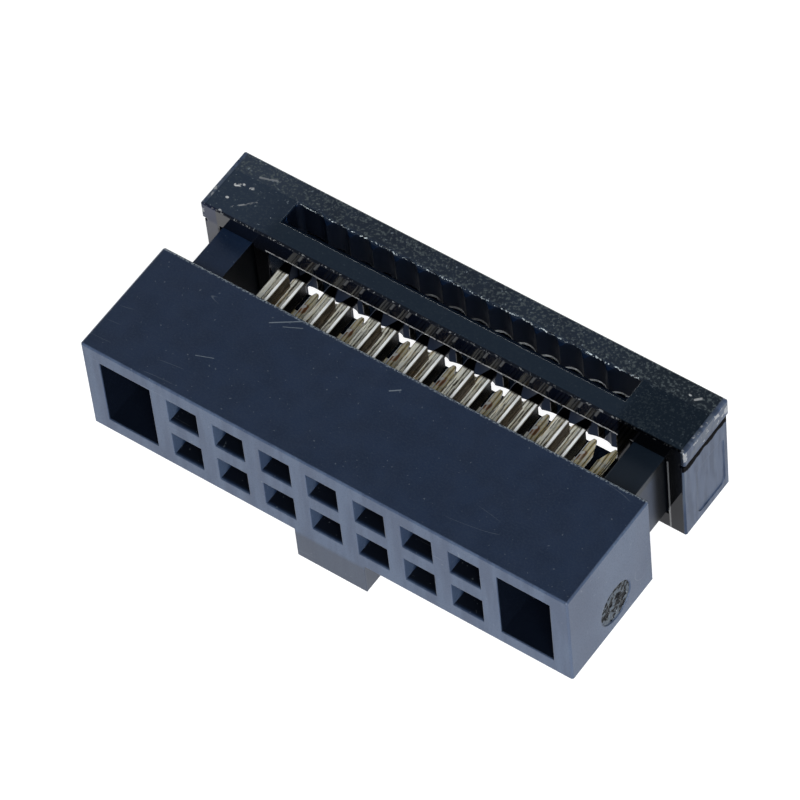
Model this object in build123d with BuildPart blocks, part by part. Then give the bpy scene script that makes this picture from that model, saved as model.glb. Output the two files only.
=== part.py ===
from build123d import *
import os

os.makedirs("parts", exist_ok=True)

# Frame: the origin is the centre of the mating face, on the axis of the pin field. X runs along the
# rows of pins, Y runs back from the mating face to the cover, and Z is up, away from the key.

# Pin field and ribbon cable
pin_pitch = 2.54
columns = 7
pin_side = 0.64
wire_pitch = pin_pitch / 2
ribbon_thickness = 0.9

# Housing block
block_depth = 6.37
entry_side = 1.66
entry_depth = 4.4
row_skin = 0.9
end_wall = 0.95
edge_break = 0.08

# Relief windows beside the pin field
window_wall = 0.9
window_width = 2.8
window_skin = 0.85
window_depth = 5.2

# Polarising key under the block
key_width = 3.8
key_drop = 1.95

# Guide posts that carry the cover
post_inset = 1.1
post_width = 1.65
post_height = 4.0
post_engagement = 0.7
post_lead = 0.2
post_clearance = 0.12

# Mark left by the moulding gate on one end of the block
gate_diameter = 2.3
gate_depth = 0.06
gate_back = 3.5
gate_drop = 1.3

# Cover, held above the block until it is pressed home on the ribbon
cover_gap = 2.78
cover_travel = 1.8
cover_height = 6.36
near_wall = 1.33
far_wall = 1.07
slot_opening = 1.1
groove_radius = 0.75
groove_rise = 0.35
ridge_round = 0.08
slot_end_round = 0.3
lead_in = 0.33
slot_end_margin = 0.35
stop_clearance = 0.05
cover_slab = 0.98
seam_height = 0.2
seam_depth = 0.3
slab_overhang = 0.1
cover_edge_break = 0.06
recess_front = 1.0
recess_width = 2.2
recess_top = 0.6
recess_height = 3.3
recess_round = 0.35
recess_depth = 0.05
opening_margin = 0.45
opening_clearance = 0.2
comb_width = 0.3
comb_drop = 0.9
comb_gap = 0.36
relief_side = 0.05
relief_reach = 0.55
relief_clearance = 0.24
relief_end = 0.12

# Contact, stamped and formed from strip
stock = 0.16
bend_radius = 0.12
pin_play = 0.04
box_front = 3.9
box_height = 1.05
slot_clearance = 0.03
beam_height = 0.56
beam_gap = 0.5
beam_length = 2.3
beam_lead = 0.5
beam_flare = 0.2
fork_width = 1.55
fork_slot = 0.25
fork_slot_depth = 1.5
fork_mouth_depth = 0.9
fork_shoulder = 0.35
fork_tip = 0.14
tip_setback = 0.48

# Places that several pieces share
row_height = pin_pitch / 2
column_places = [(i - (columns - 1) / 2) * pin_pitch for i in range(columns)]
wire_places = [(i - (2 * columns - 1) / 2) * wire_pitch for i in range(2 * columns)]
field_half = column_places[-1]
window_inner = field_half + entry_side / 2 + window_wall
block_length = 2 * (window_inner + window_width + end_wall)
block_height = pin_pitch + entry_side + 2 * row_skin
post_place = block_length / 2 - post_inset - post_width / 2
post_reach = cover_gap + post_engagement
cover_near = block_depth + cover_gap
slot_near = cover_near + near_wall
slot_far = slot_near + slot_opening
slot_centre = (slot_near + slot_far) / 2
cover_depth = near_wall + slot_opening + far_wall
box_half = pin_side / 2 + pin_play + stock
web_bottom = row_height - pin_side / 2 - pin_play - stock
web_middle = web_bottom + stock / 2
box_end = slot_centre - cover_travel - ribbon_thickness / 2 - stop_clearance
fork_place = -wire_pitch / 2
fork_tip_place = slot_near - tip_setback


def behind(distance):
    """Plane parallel to the mating face; a negative extrusion from it runs backwards."""
    return Plane.XZ.offset(-distance)


# Housing: one moulding with the pin cavities, relief windows, key and guide posts
slot_width = 2 * (box_half + slot_clearance)
slot_height = box_height + slot_clearance
root = row_skin / 2

with BuildPart() as housing:
    with BuildSketch(behind(0)):
        Rectangle(block_length, block_height)
    extrude(amount=-block_depth)
    chamfer(housing.edges(), length=edge_break)

    with BuildSketch(behind(0)):
        with Locations((0, root - block_height / 2)):
            Rectangle(key_width, key_drop + root, align=(Align.CENTER, Align.MAX))
    extrude(amount=-block_depth)

    with BuildSketch(behind(block_depth)):
        with Locations((-post_place, 0), (post_place, 0)):
            Rectangle(post_width, post_height)
    extrude(amount=-post_reach)
    post_ends = housing.faces().sort_by(Axis.Y)[-2:]
    chamfer(post_ends.edges(), length=post_lead)

    with BuildSketch(behind(0)):
        with GridLocations(pin_pitch, pin_pitch, columns, 2):
            Rectangle(entry_side, entry_side)
    extrude(amount=-entry_depth, mode=Mode.SUBTRACT)

    with BuildSketch(behind(entry_depth)):
        for side in (-1, 1):
            with Locations(*[(x, side * (web_bottom + slot_height / 2)) for x in column_places]):
                Rectangle(slot_width, slot_height)
    extrude(amount=entry_depth - block_depth, mode=Mode.SUBTRACT)

    with BuildSketch(behind(0)):
        for side in (-1, 1):
            with Locations((side * (window_inner + window_width / 2), 0)):
                Rectangle(window_width, block_height - 2 * window_skin)
    extrude(amount=-window_depth, mode=Mode.SUBTRACT)

    with BuildSketch(Plane.YZ.offset(block_length / 2)):
        with Locations((gate_back, -gate_drop)):
            Circle(gate_diameter / 2)
    extrude(amount=-gate_depth, mode=Mode.SUBTRACT)

housing.part.label = "housing"
export_step(housing.part, "parts/housing.step")


# Cover: one moulding that slides on the posts, with a grooved slot for the ribbon
slab_half = block_length / 2
body_half = slab_half - slab_overhang
cover_half = cover_height / 2
seam_top = cover_half - cover_slab
opening_half = web_bottom + box_height + opening_clearance
opening_end = field_half - fork_place + fork_width / 2 + opening_margin
pocket_depth = post_engagement + cover_travel + stop_clearance
comb_place = box_half + comb_gap + comb_width / 2
relief_depth = fork_tip_place + cover_travel + relief_end - slot_centre
relief_width = relief_side + fork_width + relief_reach
relief_place = fork_place + (relief_reach - relief_side) / 2
slot_end = groove_radius + slot_end_margin
slot_half = wire_places[-1] + slot_end

with BuildPart() as cover:
    with BuildSketch(behind(cover_near)):
        with BuildLine():
            end_outline = Polyline(
                (0, cover_half),
                (slab_half, cover_half),
                (slab_half, seam_top),
                (slab_half - seam_depth, seam_top),
                (slab_half - seam_depth, seam_top - seam_height),
                (body_half, seam_top - seam_height),
                (body_half, -cover_half),
                (0, -cover_half),
            )
            mirror(end_outline, about=Plane.YZ)
        make_face()
    extrude(amount=-cover_depth)
    long_edges = cover.edges().filter_by(Axis.X).sort_by(SortBy.LENGTH)[-4:]
    upright_edges = cover.edges().filter_by(Axis.Z).sort_by(SortBy.LENGTH)[-8:]
    end_edges = cover.edges().filter_by(Axis.Y).sort_by(Axis.Z)
    chamfer(long_edges + upright_edges + end_edges[:2] + end_edges[-2:], length=cover_edge_break)

    with BuildSketch(Plane.YZ.offset(-body_half), Plane.YZ.offset(body_half)):
        with Locations((cover_near + recess_front, recess_top)):
            RectangleRounded(recess_width, recess_height, recess_round, align=(Align.MIN, Align.MAX))
    extrude(amount=recess_depth, both=True, mode=Mode.SUBTRACT)

    with BuildSketch(behind(cover_near)):
        Rectangle(2 * opening_end, 2 * opening_half)
    extrude(amount=cover_near - slot_centre, mode=Mode.SUBTRACT)

    with BuildSketch(behind(cover_near)):
        for side in (-1, 1):
            comb = [(side * (x + comb_place), side * (opening_half - comb_drop / 2)) for x in column_places]
            with Locations(*comb):
                Rectangle(comb_width, comb_drop)
    extrude(amount=-near_wall)

    with BuildSketch(Plane.XY.offset(-cover_half)) as ribbon_slot:
        with Locations((0, slot_near)):
            Rectangle(2 * slot_half, slot_opening - groove_radius, align=(Align.CENTER, Align.MIN))
        with Locations((-slot_half + slot_end / 2, slot_centre), (slot_half - slot_end / 2, slot_centre)):
            Rectangle(slot_end, slot_opening)
        with Locations(*[(x, slot_far - groove_radius) for x in wire_places]):
            Circle(groove_radius)
        with Locations((0, slot_near)):
            Rectangle(2 * slot_half, groove_radius, align=(Align.CENTER, Align.MAX), mode=Mode.SUBTRACT)
        ridges = ribbon_slot.vertices().filter_by_position(Axis.Y, slot_centre, slot_far - ridge_round)
        fillet(ridges, radius=ridge_round)
        slot_corners = ribbon_slot.vertices().group_by(Axis.X)
        fillet(slot_corners[0] + slot_corners[-1], radius=slot_end_round)
    extrude(amount=cover_height, mode=Mode.SUBTRACT)

    with BuildSketch(Plane.YZ.offset(-slot_half)):
        for side in (-1, 1):
            with Locations((slot_near, side * cover_half)):
                RegularPolygon(lead_in, 4)
            with Locations((slot_far - groove_rise, side * cover_half)):
                RegularPolygon(groove_rise, 4)
    extrude(amount=2 * slot_half, mode=Mode.SUBTRACT)

    with BuildSketch(behind(slot_centre)):
        for side in (-1, 1):
            forks = [(side * (x + relief_place), side * web_middle) for x in column_places]
            with Locations(*forks):
                Rectangle(relief_width, stock + 2 * relief_clearance)
    extrude(amount=-relief_depth, mode=Mode.SUBTRACT)

    with BuildSketch(behind(cover_near)):
        with Locations((-post_place, 0), (post_place, 0)):
            Rectangle(post_width + 2 * post_clearance, post_height + 2 * post_clearance)
    extrude(amount=-pocket_depth, mode=Mode.SUBTRACT)

cover.part.label = "cover"
export_step(cover.part, "parts/cover.step")


# Contact: a channel with two spring beams in front and an insulation-cutting fork behind
wall_line = box_half - stock / 2
fork_left = fork_place - fork_width / 2
slot_bottom = fork_tip_place - fork_slot_depth
beam_root = row_height - beam_height / 2
pinch_place = box_front - beam_length + beam_lead

with BuildPart() as contact:
    with BuildSketch(behind(box_front)):
        with BuildLine():
            FilletPolyline(
                (-wall_line, web_bottom + box_height),
                (-wall_line, web_middle),
                (wall_line, web_middle),
                (wall_line, web_bottom + box_height),
                radius=bend_radius,
            )
        trace(line_width=stock)
    extrude(amount=box_front - box_end)

    with BuildSketch(Plane.XY.offset(web_bottom)):
        with BuildLine():
            tine = Polyline(
                (fork_place, block_depth),
                (fork_left, block_depth),
                (fork_left, fork_tip_place - fork_shoulder),
                (fork_left + fork_tip, fork_tip_place),
                (fork_left + 2 * fork_tip, fork_tip_place),
                (fork_place - fork_slot / 2, fork_tip_place - fork_mouth_depth),
                (fork_place - fork_slot / 2, slot_bottom),
            )
            mirror(tine, about=Plane.YZ.offset(fork_place))
            ThreePointArc(
                (fork_place - fork_slot / 2, slot_bottom),
                (fork_place, slot_bottom - fork_slot / 2),
                (fork_place + fork_slot / 2, slot_bottom),
            )
        make_face()
    extrude(amount=stock)

    with BuildSketch(Plane.XY.offset(beam_root)):
        with BuildLine():
            beam = Polyline(
                (wall_line, box_front + stock),
                (wall_line, box_front),
                (beam_gap / 2 + stock / 2, pinch_place),
                (beam_gap / 2 + stock / 2 + beam_flare, box_front - beam_length),
            )
            mirror(beam, about=Plane.YZ)
        trace(line_width=stock)
    extrude(amount=beam_height)


# The same contact fills both rows; the lower row is the upper one turned half round about Y
for row, turn in (("upper", 0), ("lower", 180)):
    for number, x in enumerate(column_places, start=1):
        with BuildPart() as placed:
            with Locations(Location((x, 0, 0), (0, turn, 0))):
                add(contact.part)
        placed.part.label = f"contact_{row}_{number}"
        export_step(placed.part, f"parts/contact_{row}_{number}.step")
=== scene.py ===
import math

import bmesh
import bpy
from mathutils import Matrix, Vector, noise


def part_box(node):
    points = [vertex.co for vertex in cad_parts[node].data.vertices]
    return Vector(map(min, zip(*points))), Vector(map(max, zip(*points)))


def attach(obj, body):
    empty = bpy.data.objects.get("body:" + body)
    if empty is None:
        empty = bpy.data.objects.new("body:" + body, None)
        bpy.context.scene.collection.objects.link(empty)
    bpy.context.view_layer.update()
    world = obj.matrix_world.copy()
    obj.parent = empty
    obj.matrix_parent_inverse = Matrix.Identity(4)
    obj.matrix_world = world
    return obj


# The ribbon cable socket as it was photographed: lying on its polarising key, mating face to the
# front, the cover raised on its two posts. Camera, floor and lamps are placed in metres; the
# materials and the two small pieces made here count in millimetres.
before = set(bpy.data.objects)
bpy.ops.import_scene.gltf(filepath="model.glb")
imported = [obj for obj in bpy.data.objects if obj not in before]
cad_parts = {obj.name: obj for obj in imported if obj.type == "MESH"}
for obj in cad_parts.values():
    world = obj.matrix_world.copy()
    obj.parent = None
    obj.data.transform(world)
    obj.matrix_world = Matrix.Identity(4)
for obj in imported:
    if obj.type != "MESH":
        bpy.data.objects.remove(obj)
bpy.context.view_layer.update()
MM = 0.001


# Camera: a long lens from the front right and well above, tilted a few degrees, because the socket
# lies across the picture with its right end low.
FOCAL_PIXELS = 5785.8
PICTURE = 800
camera_place = Vector((97.907, -109.110, 209.050)) * MM
camera_right = Vector((0.81754, 0.57180, -0.06840))
camera_down = Vector((0.43179, -0.68724, -0.58417))
camera_ahead = Vector((-0.38103, 0.44804, -0.80875))

camera_data = bpy.data.cameras.new("camera")
camera_data.sensor_width = 36
camera_data.lens = FOCAL_PIXELS / PICTURE * camera_data.sensor_width
camera_data.clip_start = 0.01
camera_data.clip_end = 5
camera = bpy.data.objects.new("camera", camera_data)
turn = Matrix((camera_right, -camera_down, -camera_ahead)).transposed()
camera.matrix_world = Matrix.Translation(camera_place) @ turn.to_4x4()
bpy.context.scene.collection.objects.link(camera)
bpy.context.scene.camera = camera


# Floor and light: a white sweep under a dim sky that is bright at the horizon, a broad low box at
# the front right for the mating face, and small boxes behind that catch the metal edges.
class Value:
    """One socket of a material, so that shader maths reads as Python."""

    def __init__(self, look, socket):
        self.look = look
        self.socket = socket

    def maths(self, operation, *others):
        return self.look.node("ShaderNodeMath", {"operation": operation}, self, *others)

    def __add__(self, other):
        return self.maths("ADD", other)

    def __sub__(self, other):
        return self.maths("SUBTRACT", other)

    def __rsub__(self, other):
        return self.look.node("ShaderNodeMath", {"operation": "SUBTRACT"}, other, self)

    def __mul__(self, other):
        return self.maths("MULTIPLY", other)

    def __truediv__(self, other):
        return self.maths("DIVIDE", other)

    def power(self, other):
        return self.maths("POWER", other)

    def size(self):
        """The value without its sign."""
        return self.maths("ABSOLUTE")

    def most(self, other):
        return self.maths("MAXIMUM", other)

    def rise(self, low, high):
        """0 below low, 1 above high, smooth between; low may be the larger of the two."""
        settings = {"interpolation_type": "SMOOTHSTEP", "clamp": True}
        ends = (low, high, 0.0, 1.0) if low < high else (high, low, 1.0, 0.0)
        return self.look.node("ShaderNodeMapRange", settings, self, *ends)

    __radd__ = __add__
    __rmul__ = __mul__


class Look:
    """One material."""

    def __init__(self, name):
        self.material = bpy.data.materials.new(name)
        self.material.use_nodes = True
        self.tree = self.material.node_tree
        self.shader = self.tree.nodes["Principled BSDF"]
        self.place = self.node("ShaderNodeTexCoord", {}, output="Object")

    def node(self, kind, settings, *values, output=0):
        made = self.tree.nodes.new(kind)
        for key, value in settings.items():
            setattr(made, key, value)
        for number, value in enumerate(values):
            self.feed(made.inputs[number], value)
        return Value(self, made.outputs[output])

    def feed(self, socket, value):
        if isinstance(value, Value):
            self.tree.links.new(value.socket, socket)
        elif value is not None:
            socket.default_value = (*value, 1) if socket.type == "RGBA" else value

    def parts(self, vector):
        """The three parts of a vector."""
        split = self.node("ShaderNodeSeparateXYZ", {}, vector)
        return [Value(self, socket) for socket in split.socket.node.outputs]

    def axes(self):
        """The object coordinates in millimetres."""
        return [part * 1000.0 for part in self.parts(self.place)]

    def facing(self):
        """The surface's own direction."""
        return self.parts(self.node("ShaderNodeNewGeometry", {}, output="Normal"))

    def stretched(self, *scale):
        return self.node("ShaderNodeMapping", {}, self.place, None, None, scale)

    def noise(self, cells, detail=2.0, place=None):
        """Noise with so many cells per millimetre."""
        where = self.place if place is None else place
        return self.node("ShaderNodeTexNoise", {}, where, None, cells * 1000.0, detail)

    def stroke(self, x, y, start, end, width):
        """1 on a stroke between two places in millimetres, or on a spot if they are the same."""
        run = Vector(end) - Vector(start)
        way = run.normalized() if run.length else Vector((1.0, 0.0))
        from_x, from_y = x - start[0], y - start[1]
        along = from_x * way[0] + from_y * way[1]
        aside = from_y * way[0] - from_x * way[1]
        past = (along * -1.0).most(along - run.length).most(0.0)
        return (aside * aside + past * past).power(0.5).rise(width / 2, width / 4)

    def mix(self, share, first, second):
        made = self.tree.nodes.new("ShaderNodeMix")
        made.data_type = "RGBA"
        factor, colour_a, colour_b = (made.inputs[number] for number in (0, 6, 7))
        self.feed(factor, share)
        self.feed(colour_a, first)
        self.feed(colour_b, second)
        return Value(self, made.outputs[2])

    def paint(self, under, *coats):
        """Coats laid over each other, each a share and a colour."""
        for share, colour in coats:
            under = self.mix(share, under, colour)
        return under

    def set(self, **values):
        for name, value in values.items():
            self.feed(self.shader.inputs[name.replace("_", " ")], value)

    def bump(self, height, depth, edge_radius=None):
        """Bumps whose full height is so many millimetres, on edges rounded by the radius."""
        normal = None
        if edge_radius:
            normal = self.node("ShaderNodeBevel", {"samples": 6}, edge_radius * MM)
        made = self.node("ShaderNodeBump", {}, 1.0, depth * MM, None, height, normal)
        self.feed(self.shader.inputs["Normal"], made)

    def dress(self, *pieces):
        for piece in pieces:
            piece.data.materials.clear()
            piece.data.materials.append(self.material)


FLOOR_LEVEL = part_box("housing")[0].z
floor_reach = 1.2
floor_mesh = bpy.data.meshes.new("floor")
signs = ((-1, -1), (1, -1), (1, 1), (-1, 1))
corners = [(x * floor_reach, y * floor_reach, FLOOR_LEVEL) for x, y in signs]
floor_mesh.from_pydata(corners, [], [(0, 1, 2, 3)])
floor = bpy.data.objects.new("floor", floor_mesh)
bpy.context.scene.collection.objects.link(floor)

sweep = Look("white_sweep")
sweep.set(Base_Color=(0.42, 0.42, 0.42), Roughness=0.9, Specular_IOR_Level=0.0)
path = sweep.node("ShaderNodeLightPath", {}).socket.node.outputs
seen = Value(sweep, path["Is Camera Ray"]).most(Value(sweep, path["Is Glossy Ray"]))
seen = seen.most(Value(sweep, path["Is Transmission Ray"]))
glow = sweep.node("ShaderNodeEmission", {}, (1.0, 1.0, 1.0), seen * 0.85)
both = sweep.node("ShaderNodeAddShader", {}, Value(sweep, sweep.shader.outputs[0]), glow)
sweep.feed(sweep.tree.nodes["Material Output"].inputs["Surface"], both)
sweep.dress(floor)

world = bpy.data.worlds.new("studio")
bpy.context.scene.world = world
world.use_nodes = True
sky = world.node_tree
background = sky.nodes["Background"]
background.inputs["Color"].default_value = (0.90, 0.96, 1.0, 1)
direction = sky.nodes.new("ShaderNodeTexCoord")
height = sky.nodes.new("ShaderNodeSeparateXYZ")
fade = sky.nodes.new("ShaderNodeMapRange")
fade.interpolation_type = "SMOOTHSTEP"
for name, value in (("From Min", 0.0), ("From Max", 0.5), ("To Min", 0.8), ("To Max", 0.10)):
    fade.inputs[name].default_value = value
sky.links.new(direction.outputs["Generated"], height.inputs[0])
sky.links.new(height.outputs["Z"], fade.inputs["Value"])
sky.links.new(fade.outputs["Result"], background.inputs["Strength"])


def soft_box(name, place, width, height, power):
    """A rectangular lamp of so many watts, aimed at the socket."""
    data = bpy.data.lights.new(name, "AREA")
    data.shape = "RECTANGLE"
    data.size = width
    data.size_y = height
    data.energy = power
    data.color = (0.95, 0.98, 1.0)
    box = bpy.data.objects.new(name, data)
    aim = (-Vector(place)).to_track_quat("-Z", "Y")
    box.matrix_world = Matrix.Translation(place) @ aim.to_matrix().to_4x4()
    bpy.context.scene.collection.objects.link(box)


soft_box("over_the_camera", (0.25, -0.30, 0.42), 0.30, 0.30, 2.6)
soft_box("front_right", (0.38, -0.44, 0.10), 0.40, 0.16, 3.3)
soft_box("left_behind", (-0.43, 0.18, 0.20), 0.12, 0.12, 0.4)
soft_box("right_behind", (0.22, 0.28, 0.38), 0.12, 0.12, 0.3)
soft_box("low_behind", (-0.20, 0.50, 0.05), 0.30, 0.05, 0.5)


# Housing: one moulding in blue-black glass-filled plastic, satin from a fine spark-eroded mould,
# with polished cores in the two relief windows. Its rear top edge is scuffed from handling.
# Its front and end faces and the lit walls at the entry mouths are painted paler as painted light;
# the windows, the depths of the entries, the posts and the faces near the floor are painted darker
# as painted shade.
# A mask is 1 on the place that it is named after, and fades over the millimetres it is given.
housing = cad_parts["housing"]
pitch = 2.54
cavity_depth = 5.3
window_end = 12.25
plastic = Look("housing_plastic")
x, y, z = plastic.axes()
face_x, _, face_z = plastic.facing()
mottle = plastic.noise(0.9, 4.0)
grain = plastic.noise(11.0, 3.0)
flow = plastic.noise(0.5, 2.0, plastic.stretched(2.4, 1.0, 0.25))
streaks = plastic.noise(1.0, 2.0, plastic.stretched(1.6, 0.2, 0.2))

pin_rows = z.size().rise(2.3, 2.2)
# The relief windows: polished, with lower roughness, and painted near black as painted shade.
window = x.size().rise(9.2, 9.3) * (window_end - x.size()).rise(0.0, 0.05) * pin_rows
window = window * y.rise(0.02, 0.1) * (cavity_depth - y).rise(0.0, 0.05)
entries = x.size().rise(8.8, 8.7) * pin_rows
above_entry = ((z / pitch).maths("FRACT") - 0.5) * pitch
# The lit side walls at the mouths of the pin entries, up to a slanting shadow edge: painted light.
lit_mouth_side = entries * face_x.rise(0.6, 0.8) * (y - above_entry * 0.5).rise(1.15, 0.75)
entry_floor = face_z.rise(0.6, 0.8) * y.rise(0.05, 0.25)
entry_shade = entries * y.rise(0.8, 1.5).most(entry_floor) * (cavity_depth - y).rise(0.0, 0.1)
# The front and end faces painted paler, a lit copy of the plastic: painted light.
lit_faces = y.rise(0.12, 0.04).most(x.size().rise(12.98, 13.06)).most(lit_mouth_side * 0.95)
# Faces near the floor painted darker: painted shade.
low = z.rise(-2.9, -3.3)
top_of_edge = y.rise(6.18, 6.30) * (6.45 - y).rise(0.0, 0.02) * z.rise(2.80, 2.92)
back_of_edge = y.rise(6.30, 6.34) * z.rise(2.4, 2.9)
scuff = top_of_edge.most(back_of_edge) * grain.rise(0.44, 0.60)
speck = plastic.noise(6.0, 1.0).rise(0.72, 0.77)
# The top of the right post, between block and cover, painted darker: painted shade.
right_post_shade = y.rise(6.40, 6.45) * x.rise(10.0, 10.2) * z.rise(1.5, 1.7)
post_shade = face_x.rise(0.6, 0.8) * y.rise(6.40, 6.45)
post_shade = post_shade * x.rise(0.0, -0.1).most(y.rise(7.9, 8.6))

hairline = (plastic.noise(0.45, 0.0, plastic.stretched(0.3, 1.6, 1.0)) - 0.5).size()
scratch = hairline.rise(0.004, 0.001) * plastic.noise(0.30, 1.0).rise(0.60, 0.64)
for start, end, width in (
    ((-6.55, 5.42), (-5.30, 6.28), 0.07),
    ((-5.9, 5.55), (-5.1, 5.95), 0.04),
    ((0.15, 5.2), (0.55, 5.5), 0.08),
    ((-8.3, 2.2), (-7.5, 2.5), 0.04),
):
    scratch = scratch.most(plastic.stroke(x, y, start, end, width) * z.rise(2.9, 3.0) * 2.4)

lit_face_colour = plastic.paint(
    plastic.mix(streaks.rise(0.35, 0.65), (0.030, 0.048, 0.092), (0.048, 0.072, 0.124)),
    (grain.rise(0.50, 0.66) * 0.3, (0.010, 0.018, 0.036)),
)
body_colour = plastic.paint(
    plastic.mix(mottle.rise(0.3, 0.7), (0.001, 0.009, 0.031), (0.003, 0.013, 0.040)),
    (grain.rise(0.45, 0.62) * 0.5, (0.009, 0.021, 0.046)),
    (entry_shade * 0.85, (0.001, 0.002, 0.005)),
    (lit_faces, lit_face_colour),
    (low * 0.8, (0.018, 0.025, 0.044)),
    ((scuff * 0.9).most(scratch * 0.2).most(speck * 0.2), (0.26, 0.30, 0.33)),
    (window * 0.9, (0.003, 0.004, 0.007)),
    (right_post_shade * 0.8, (0.001, 0.005, 0.009)),
    (post_shade * 0.9, (0.001, 0.002, 0.004)),
)
plastic.set(
    Base_Color=body_colour,
    Metallic=(post_shade * 0.9).most(entry_shade * 0.6),
    Roughness=(0.38 + grain * 0.12 + flow * 0.10) - window * 0.28,
)
plastic.bump(grain + scuff * 2.0, 0.004, 0.07)
plastic.dress(housing)


# Gate mark: the torn stub of the sprue in its round recess on the right end of the block, rough
# and paler where the plastic broke off. A disc of rings and spokes whose points noise lifts.
recess_floor = 13.04
gate_y, gate_z = 3.5, -1.3
gate_radius = 1.12
centre_height = 0.03
lump_height = 0.058
rings, spokes = 9, 56
scar = bmesh.new()


def scar_point(height, across, up):
    return scar.verts.new(
        ((recess_floor + height) * MM, (gate_y + across) * MM, (gate_z + up) * MM))


centre = scar_point(centre_height, 0.0, 0.0)
inner = []
for ring in range(1, rings + 1):
    outer = []
    for spoke in range(spokes):
        angle = 2 * math.pi * spoke / spokes
        edge = noise.noise((3.1 * math.cos(angle), 3.1 * math.sin(angle), 0.4))
        reach = gate_radius * ring / rings * (1.0 + 0.05 * edge)
        across, up = reach * math.cos(angle), reach * math.sin(angle)
        coarse = noise.noise((2.6 * across, 2.6 * up, 1.7))
        fine = noise.noise((9.0 * across, 9.0 * up, 5.2))
        lump = min(max(0.5 + 0.9 * coarse + 0.5 * fine, 0.0), 1.0)
        outer.append(scar_point(0.0 if ring == rings else lump_height * lump, across, up))
    for spoke in range(spokes):
        after = (spoke + 1) % spokes
        if inner:
            scar.faces.new((inner[spoke], outer[spoke], outer[after], inner[after]))
        else:
            scar.faces.new((centre, outer[spoke], outer[after]))
    inner = outer
bmesh.ops.recalc_face_normals(scar, faces=scar.faces)
scar_mesh = bpy.data.meshes.new("gate_scar")
scar.to_mesh(scar_mesh)
scar.free()
gate_scar = bpy.data.objects.new("gate_scar", scar_mesh)
bpy.context.scene.collection.objects.link(gate_scar)

torn = Look("torn_plastic")
tear = torn.noise(3.4, 5.0)
crumb = torn.noise(9.0, 2.0)
torn_colour = torn.paint(
    torn.mix(tear.rise(0.46, 0.58), (0.003, 0.004, 0.006), (0.060, 0.075, 0.095)),
    (crumb.rise(0.63, 0.70) * 0.7, (0.30, 0.32, 0.33)),
)
torn.set(
    Base_Color=torn_colour,
    Metallic=tear.rise(0.55, 0.45) * 0.9,
    Roughness=0.55 + tear * 0.3,
)
torn.bump(tear + crumb, 0.05)
torn.dress(gate_scar)
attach(gate_scar, "socket_body")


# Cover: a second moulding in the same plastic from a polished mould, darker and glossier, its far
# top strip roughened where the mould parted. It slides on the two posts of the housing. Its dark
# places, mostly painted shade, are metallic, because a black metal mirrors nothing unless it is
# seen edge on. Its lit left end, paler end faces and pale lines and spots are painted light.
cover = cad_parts["cover"]
gloss = Look("cover_plastic")
x, y, z = gloss.axes()
grain = gloss.noise(9.0, 3.0)
cloud = gloss.noise(0.8, 3.0)
drag = gloss.noise(1.2, 3.0, gloss.stretched(0.5, 2.5, 0.3))
patchy = gloss.noise(1.3, 3.0).rise(0.40, 0.56)

top_face = z.rise(3.1, 3.15)
far_strip = top_face * y.rise(11.50, 11.62)
near_strip = y.rise(10.5, 10.4) * x.size().rise(9.8, 9.2)
# Glints along the near top edge: painted highlights.
crest_glints = top_face * y.rise(9.24, 9.20) * grain.rise(0.56, 0.64)
bright_specks = gloss.noise(5.0, 2.0).rise(0.66, 0.72) * top_face
bright_specks = bright_specks * (1.0 - near_strip * 0.9) * (1.0 - x.rise(9.4, 9.9) * 0.7)
mottled = grain.rise(0.50, 0.66) * (0.20 + far_strip * 0.8) * (1.0 - near_strip * 0.7) * top_face

slot_length = x.size().rise(9.6, 9.5)
# Inside the ribbon slot: painted shade, made dark through Metallic, with higher roughness.
in_slot = y.rise(10.3, 10.45) * y.rise(11.62, 11.58) * z.rise(3.1, 3.0) * slot_length
# Pale arcs on the rims of the fork pockets seen through the slot: painted highlights.
pocket_rim_highlight = in_slot * z.rise(1.13, 1.15) * z.rise(1.32, 1.27) * y.rise(11.36, 11.44)
pocket_rim_highlight = pocket_rim_highlight * (x * 0.09 + gloss.noise(0.7, 1.0)).rise(0.30, 0.65)

near_face = y.rise(9.3, 9.2)
# A pale line along the upper edge of the opening in the near face: a painted highlight.
lip = near_face * z.rise(1.95, 2.0) * z.rise(2.11, 2.06) * slot_length
# The near face below the slab and at its right part, made dark through Metallic: painted shade.
shaded_low_face = near_face * z.rise(1.95, 1.85).most(x.rise(9.5, 9.7)) * x.rise(-12.3, -12.2)
# The left end of the near face, out of the block's shadow, painted lighter: painted light; its slab
# part is painted darker through Metallic.
lit_left_piece = near_face * x.rise(-12.2, -12.3)
left_slab = lit_left_piece * z.rise(2.0, 2.2)
# A thin light line on the near face at the right end, an edge catching light: a painted highlight.
right_end_highlight = near_face * x.rise(12.12, 12.15) * x.rise(12.24, 12.21) * z.rise(2.0, 1.9)

rough_end = x.size().rise(12.85, 12.95)
# The ends of the slab painted with a pale patchy strip and glints: painted light.
lit_slab_end = rough_end * z.rise(2.3, 2.4)
# A black band under the slab on both ends, with a ragged lower edge: a painted shadow.
shadow_under_slab = rough_end * z.rise(2.10, 2.07) * (z - gloss.noise(1.6, 3.0) * 0.6).rise(1.20, 1.28)

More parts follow.
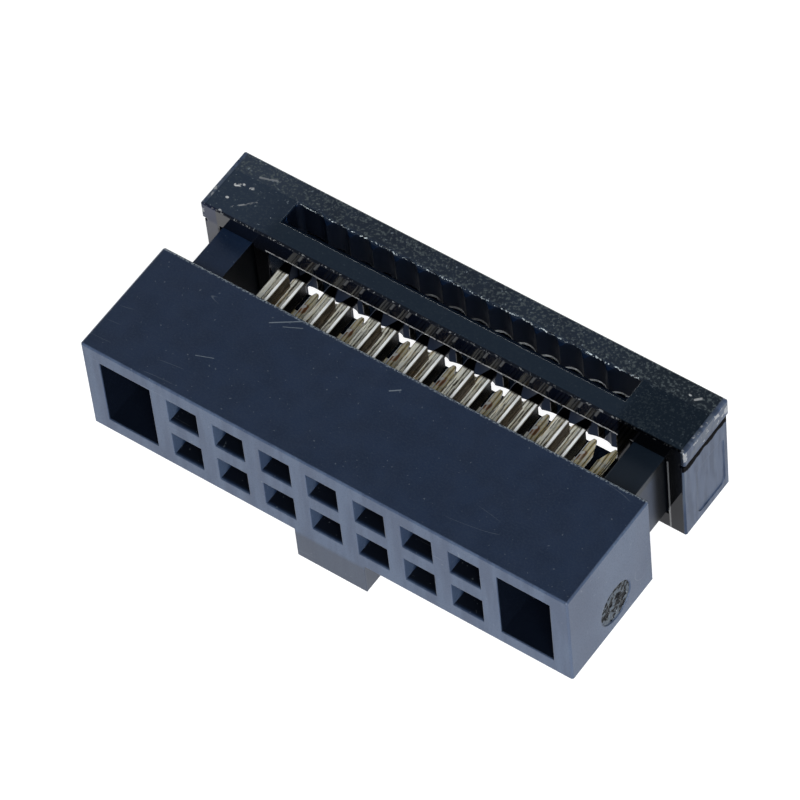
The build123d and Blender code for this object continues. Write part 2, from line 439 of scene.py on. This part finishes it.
# Glints on the top as listed spots and strokes: painted highlights.
top_glints = 0.0
for start, end, width, strength in (
    ((-12.3, 10.85), (-12.0, 11.0), 0.24, 1.0),
    ((-11.60, 11.0), (-11.48, 11.06), 0.16, 1.0),
    ((-12.25, 10.05), (-12.2, 10.05), 0.16, 0.8),
    ((-11.7, 9.75), (-10.9, 10.5), 0.12, 0.35),
    ((-11.6, 11.75), (-10.7, 12.05), 0.14, 0.25),
    ((-12.1, 9.28), (-12.0, 9.28), 0.14, 0.8),
    ((11.9, 11.85), (12.1, 12.05), 0.16, 0.5),
    ((11.55, 11.95), (11.6, 11.95), 0.12, 0.7),
):
    top_glints = (gloss.stroke(x, y, start, end, width) * strength).most(top_glints)
top_glints = top_glints * top_face * gloss.noise(3.4, 2.0).rise(0.40, 0.52)
# All the cover's painted highlights, laid on in one pale colour.
painted_highlights = (lip * grain.rise(0.3, 0.5)).most(crest_glints * 0.25).most(right_end_highlight * 0.14).most(top_glints)
painted_highlights = painted_highlights.most(lit_slab_end * gloss.noise(2.2, 3.0).rise(0.58, 0.64) * 0.5)

# The end faces painted paler than the rest of the cover, a lit copy of the plastic: painted light;
# their drag streaks are the plastic's own.
lit_end_colour = gloss.mix(drag.rise(0.35, 0.65), (0.018, 0.033, 0.070), (0.036, 0.056, 0.104))
cover_colour = gloss.paint(
    gloss.mix(cloud.rise(0.3, 0.7), (0.005, 0.010, 0.020), (0.008, 0.015, 0.028)),
    # The top painted lighter towards its left end and darker towards its right end: a painted
    # reflection.
    (x.rise(-7.0, -12.0) * top_face, (0.018, 0.028, 0.046)),
    (x.rise(6.0, 11.0) * top_face, (0.003, 0.008, 0.015)),
    (near_strip * top_face, (0.008, 0.015, 0.026)),
    (mottled, (0.055, 0.068, 0.074)),
    # The near face painted near black: painted shade.
    (near_face * 0.85, (0.001, 0.001, 0.003)),
    (rough_end, lit_end_colour),
    (rough_end * drag.rise(0.58, 0.66) * 0.5, (0.07, 0.09, 0.12)),
    (lit_slab_end * patchy * 0.6, (0.060, 0.072, 0.090)),
    (lit_left_piece, (0.016, 0.022, 0.050)),
    (painted_highlights, (0.52, 0.52, 0.52)),
    (shadow_under_slab, (0.0, 0.0, 0.001)),
    (bright_specks * 0.5, (0.20, 0.24, 0.27)),
    (in_slot, (0.006, 0.014, 0.036)),
    (pocket_rim_highlight, (0.95, 0.98, 1.0)),
)
rough = 0.13 + top_face * 0.10 + grain * 0.05 + far_strip * 0.14
rough = rough + rough_end * (0.28 + drag * 0.16) + in_slot * 0.4 + shadow_under_slab * 0.4
# The cover's painted shade made dark through Metallic: the shadow under the slab, the low near
# face, the slot and the slab at the left end; the streaks on the ends are the plastic's own.
dark = shadow_under_slab.most(shaded_low_face * 0.95).most(in_slot).most(left_slab * 0.6)
dark = dark.most(rough_end * (drag + patchy * 0.1).rise(0.58, 0.42) * 0.3)
gloss.set(
    Base_Color=cover_colour,
    Metallic=(dark - pocket_rim_highlight - right_end_highlight).most(0.0),
    Roughness=(rough - near_face * 0.10).most(0.03),
)
pits = grain * ((0.12 + far_strip * 0.8) - near_face * 0.12)
gloss.bump(pits + drag * rough_end + bright_specks * 1.5, 0.003, 0.06)
gloss.dress(cover)


# Flash along the far rim of the ribbon slot: crumbs of the cover's plastic squeezed out at the
# parting line, made as one row by a Geometry Nodes tree. Its inputs are in millimetres.
flash_tree = bpy.data.node_groups.new("flash_row", "GeometryNodeTree")
sizes = {"Half Length": 9.2, "Rim": 11.52, "Level": 3.115, "Crumb": 0.042, "Scatter": 0.035}
crumb_count = 230
flash_tree.interface.new_socket(
    name="Geometry", in_out="OUTPUT", socket_type="NodeSocketGeometry")
for name in sizes:
    flash_tree.interface.new_socket(name=name, in_out="INPUT", socket_type="NodeSocketFloat")
flash_tree.interface.new_socket(name="Count", in_out="INPUT", socket_type="NodeSocketInt")


def put(socket, value):
    if isinstance(value, bpy.types.NodeSocket):
        flash_tree.links.new(value, socket)
    else:
        socket.default_value = value


def add_node(kind, settings=None, **values):
    made = flash_tree.nodes.new(kind)
    for key, value in (settings or {}).items():
        setattr(made, key, value)
    for name, value in values.items():
        put(made.inputs[name.replace("_", " ")], value)
    return made


def times(first, second):
    made = add_node("ShaderNodeMath", {"operation": "MULTIPLY"})
    put(made.inputs[0], first)
    put(made.inputs[1], second)
    return made.outputs[0]


def random_vector(seed, low, high):
    made = add_node("FunctionNodeRandomValue", {"data_type": "FLOAT_VECTOR"}, Seed=seed)
    put(made.inputs[0], low)
    put(made.inputs[1], high)
    return made.outputs[0]


given = add_node("NodeGroupInput").outputs
rim, level = times(given["Rim"], MM), times(given["Level"], MM)
left, right = (
    add_node("ShaderNodeCombineXYZ", X=times(given["Half Length"], side * MM), Y=rim, Z=level)
    for side in (-1, 1))
row = add_node("GeometryNodeCurvePrimitiveLine", Start=left.outputs[0], End=right.outputs[0])
points = add_node(
    "GeometryNodeCurveToPoints", {"mode": "COUNT"}, Curve=row.outputs[0], Count=given["Count"])
shift = add_node(
    "ShaderNodeVectorMath", {"operation": "SCALE"},
    Vector=random_vector(11, (-1.0, -1.0, -0.6), (1.0, 1.0, 0.5)),
    Scale=times(given["Scatter"], MM))
moved = add_node(
    "GeometryNodeSetPosition", Geometry=points.outputs[0], Offset=shift.outputs[0])
ball = add_node(
    "GeometryNodeMeshIcoSphere", Radius=times(given["Crumb"], MM), Subdivisions=2)
crumbs = add_node(
    "GeometryNodeInstanceOnPoints", Points=moved.outputs[0], Instance=ball.outputs[0],
    Scale=random_vector(12, (0.4, 0.3, 0.3), (2.2, 1.0, 1.0)),
    Rotation=random_vector(13, (-0.5, -0.4, -0.6), (0.5, 0.4, 0.6)))
solid = add_node("GeometryNodeRealizeInstances", Geometry=crumbs.outputs[0])
dressed = add_node("GeometryNodeSetMaterial", Geometry=solid.outputs[0])
add_node("NodeGroupOutput", Geometry=dressed.outputs[0])

ragged = Look("ragged_flash")
# Pale flecks on the dark crumbs: painted glints.
flash_glint = ragged.noise(5.0, 3.0)
ragged.set(
    Base_Color=ragged.mix(flash_glint.rise(0.45, 0.6), (0.012, 0.020, 0.032), (0.36, 0.40, 0.42)),
    Roughness=0.16 + flash_glint * 0.25,
)
ragged.bump(flash_glint, 0.01)
dressed.inputs["Material"].default_value = ragged.material

carrier = bpy.data.objects.new("flash_carrier", bpy.data.meshes.new("flash_carrier"))
bpy.context.scene.collection.objects.link(carrier)
modifier = carrier.modifiers.new("flash", "NODES")
modifier.node_group = flash_tree
sockets = {
    item.name: item.identifier
    for item in flash_tree.interface.items_tree if item.in_out == "INPUT"}
for name, value in sizes.items():
    modifier[sockets[name]] = value
modifier[sockets["Count"]] = crumb_count
evaluated = carrier.evaluated_get(bpy.context.evaluated_depsgraph_get())
flash_mesh = bpy.data.meshes.new_from_object(evaluated)
flash_mesh.name = "slot_flash"
bpy.data.objects.remove(carrier)
slot_flash = bpy.data.objects.new("slot_flash", flash_mesh)
bpy.context.scene.collection.objects.link(slot_flash)
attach(slot_flash, "cover")


# Contacts: fourteen stampings of thin bronze strip, gold over nickel, brushed along the strip, with
# sheared edges and brown stains where the plating is thin. Each is pushed into its slot in the
# housing. Painted on them: white highlights on the edges, light and dark reflection streaks, dark
# side walls as painted shade, and black tips on the upper forks as the painted shadow of the cover.
strip = Look("contact_metal")
x, y, z = strip.axes()
face_x, _, _ = strip.facing()
brushed = strip.noise(1.0, 3.0, strip.stretched(7.0, 0.45, 7.0))
fine = strip.noise(1.0, 2.0, strip.stretched(16.0, 1.2, 16.0))
cloud = strip.noise(1.6, 2.0)

wall = face_x.size().rise(0.5, 0.8)
across = ((x / pitch + 0.5).maths("FRACT") - 0.5) * pitch
lower = z.rise(-0.2, -0.4)
# The upper forks' tips under the cover painted black: a painted shadow.
tip_shadow = z.rise(0.3, 0.5) * y.rise(9.12, 9.30)
sheared = z.size().rise(1.74, 1.77)
# White lines on the wall tops and on the left edges of the lower plates: painted highlights.
wall_top_highlight = sheared * (across.size() - 0.44).size().rise(0.075, 0.045)
left_edge_highlight = lower * across.rise(-0.17, -0.15) * across.rise(-0.07, -0.11)
from_stain = (across.power(2.0) + ((y - 8.95) * 0.8).power(2.0)).power(0.5) - cloud * 0.3
stain = lower * from_stain.rise(0.14, 0.02) * strip.noise(0.55, 1.0).rise(0.30, 0.42)
glint = strip.stroke(across, y, (-0.10, 9.02), (0.0, 9.12), 0.20)
glint = glint * lower * cloud.rise(0.30, 0.45)
brown = strip.noise(3.2, 3.0).rise(0.56, 0.66) * (0.25 + lower * 0.6)
# Light and dark stripes across the plates: painted reflection.
reflection_stripes = (across * (36.0 + lower * -8.0) + cloud * 2.0).maths("SINE")

# The side walls painted dark brown: painted shade.
shaded_wall_colour = strip.mix(fine.rise(0.45, 0.55), (0.14, 0.10, 0.06), (0.03, 0.02, 0.015))
strip_colour = strip.paint(
    strip.mix(brushed.rise(0.36, 0.48), (0.82, 0.64, 0.34), (1.0, 0.95, 0.76)),
    # Dark and white streaks along the brushing: painted reflection.
    (fine.rise(0.54, 0.58) * 0.92, (0.04, 0.03, 0.02)),
    (fine.rise(0.47, 0.42) * 0.85, (1.0, 0.99, 0.94)),
    # The lower row painted more golden and lighter in patches: partly the gold's own tone, partly
    # painted light.
    (lower * cloud.rise(0.34, 0.52) * 0.75, (1.0, 0.80, 0.36)),
    (brown * 0.5, (0.34, 0.18, 0.07)),
    (stain * 0.9, (0.34, 0.10, 0.02)),
    (reflection_stripes.rise(-0.5, -0.9) * 0.75, (0.06, 0.05, 0.03)),
    (reflection_stripes.rise(0.2, 0.8) * 0.75, (1.0, 0.98, 0.88)),
    (wall, shaded_wall_colour),
    # The outer faces of the walls painted near black: painted shade.
    (wall * across.rise(0.45, 0.50), (0.010, 0.010, 0.012)),
    (tip_shadow, (0.008, 0.008, 0.011)),
    (sheared, (0.30, 0.27, 0.22)),
    (wall_top_highlight.most(left_edge_highlight).most(glint), (1.0, 1.0, 0.98)),
)
strip.set(
    Base_Color=strip_colour,
    Metallic=(0.08 + wall * 0.74 - sheared * 0.06).most(tip_shadow),
    Roughness=((0.36 + brushed * 0.14) - wall * 0.2) * (1.0 - sheared) + sheared * 0.5,
)
strip.bump(brushed * (1.0 - wall * 0.8), 0.012, 0.05)
for row_name in ("upper", "lower"):
    for number in range(1, 8):
        strip.dress(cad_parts[f"contact_{row_name}_{number}"])


# Picture settings.
bpy.context.scene.view_settings.view_transform = "Standard"
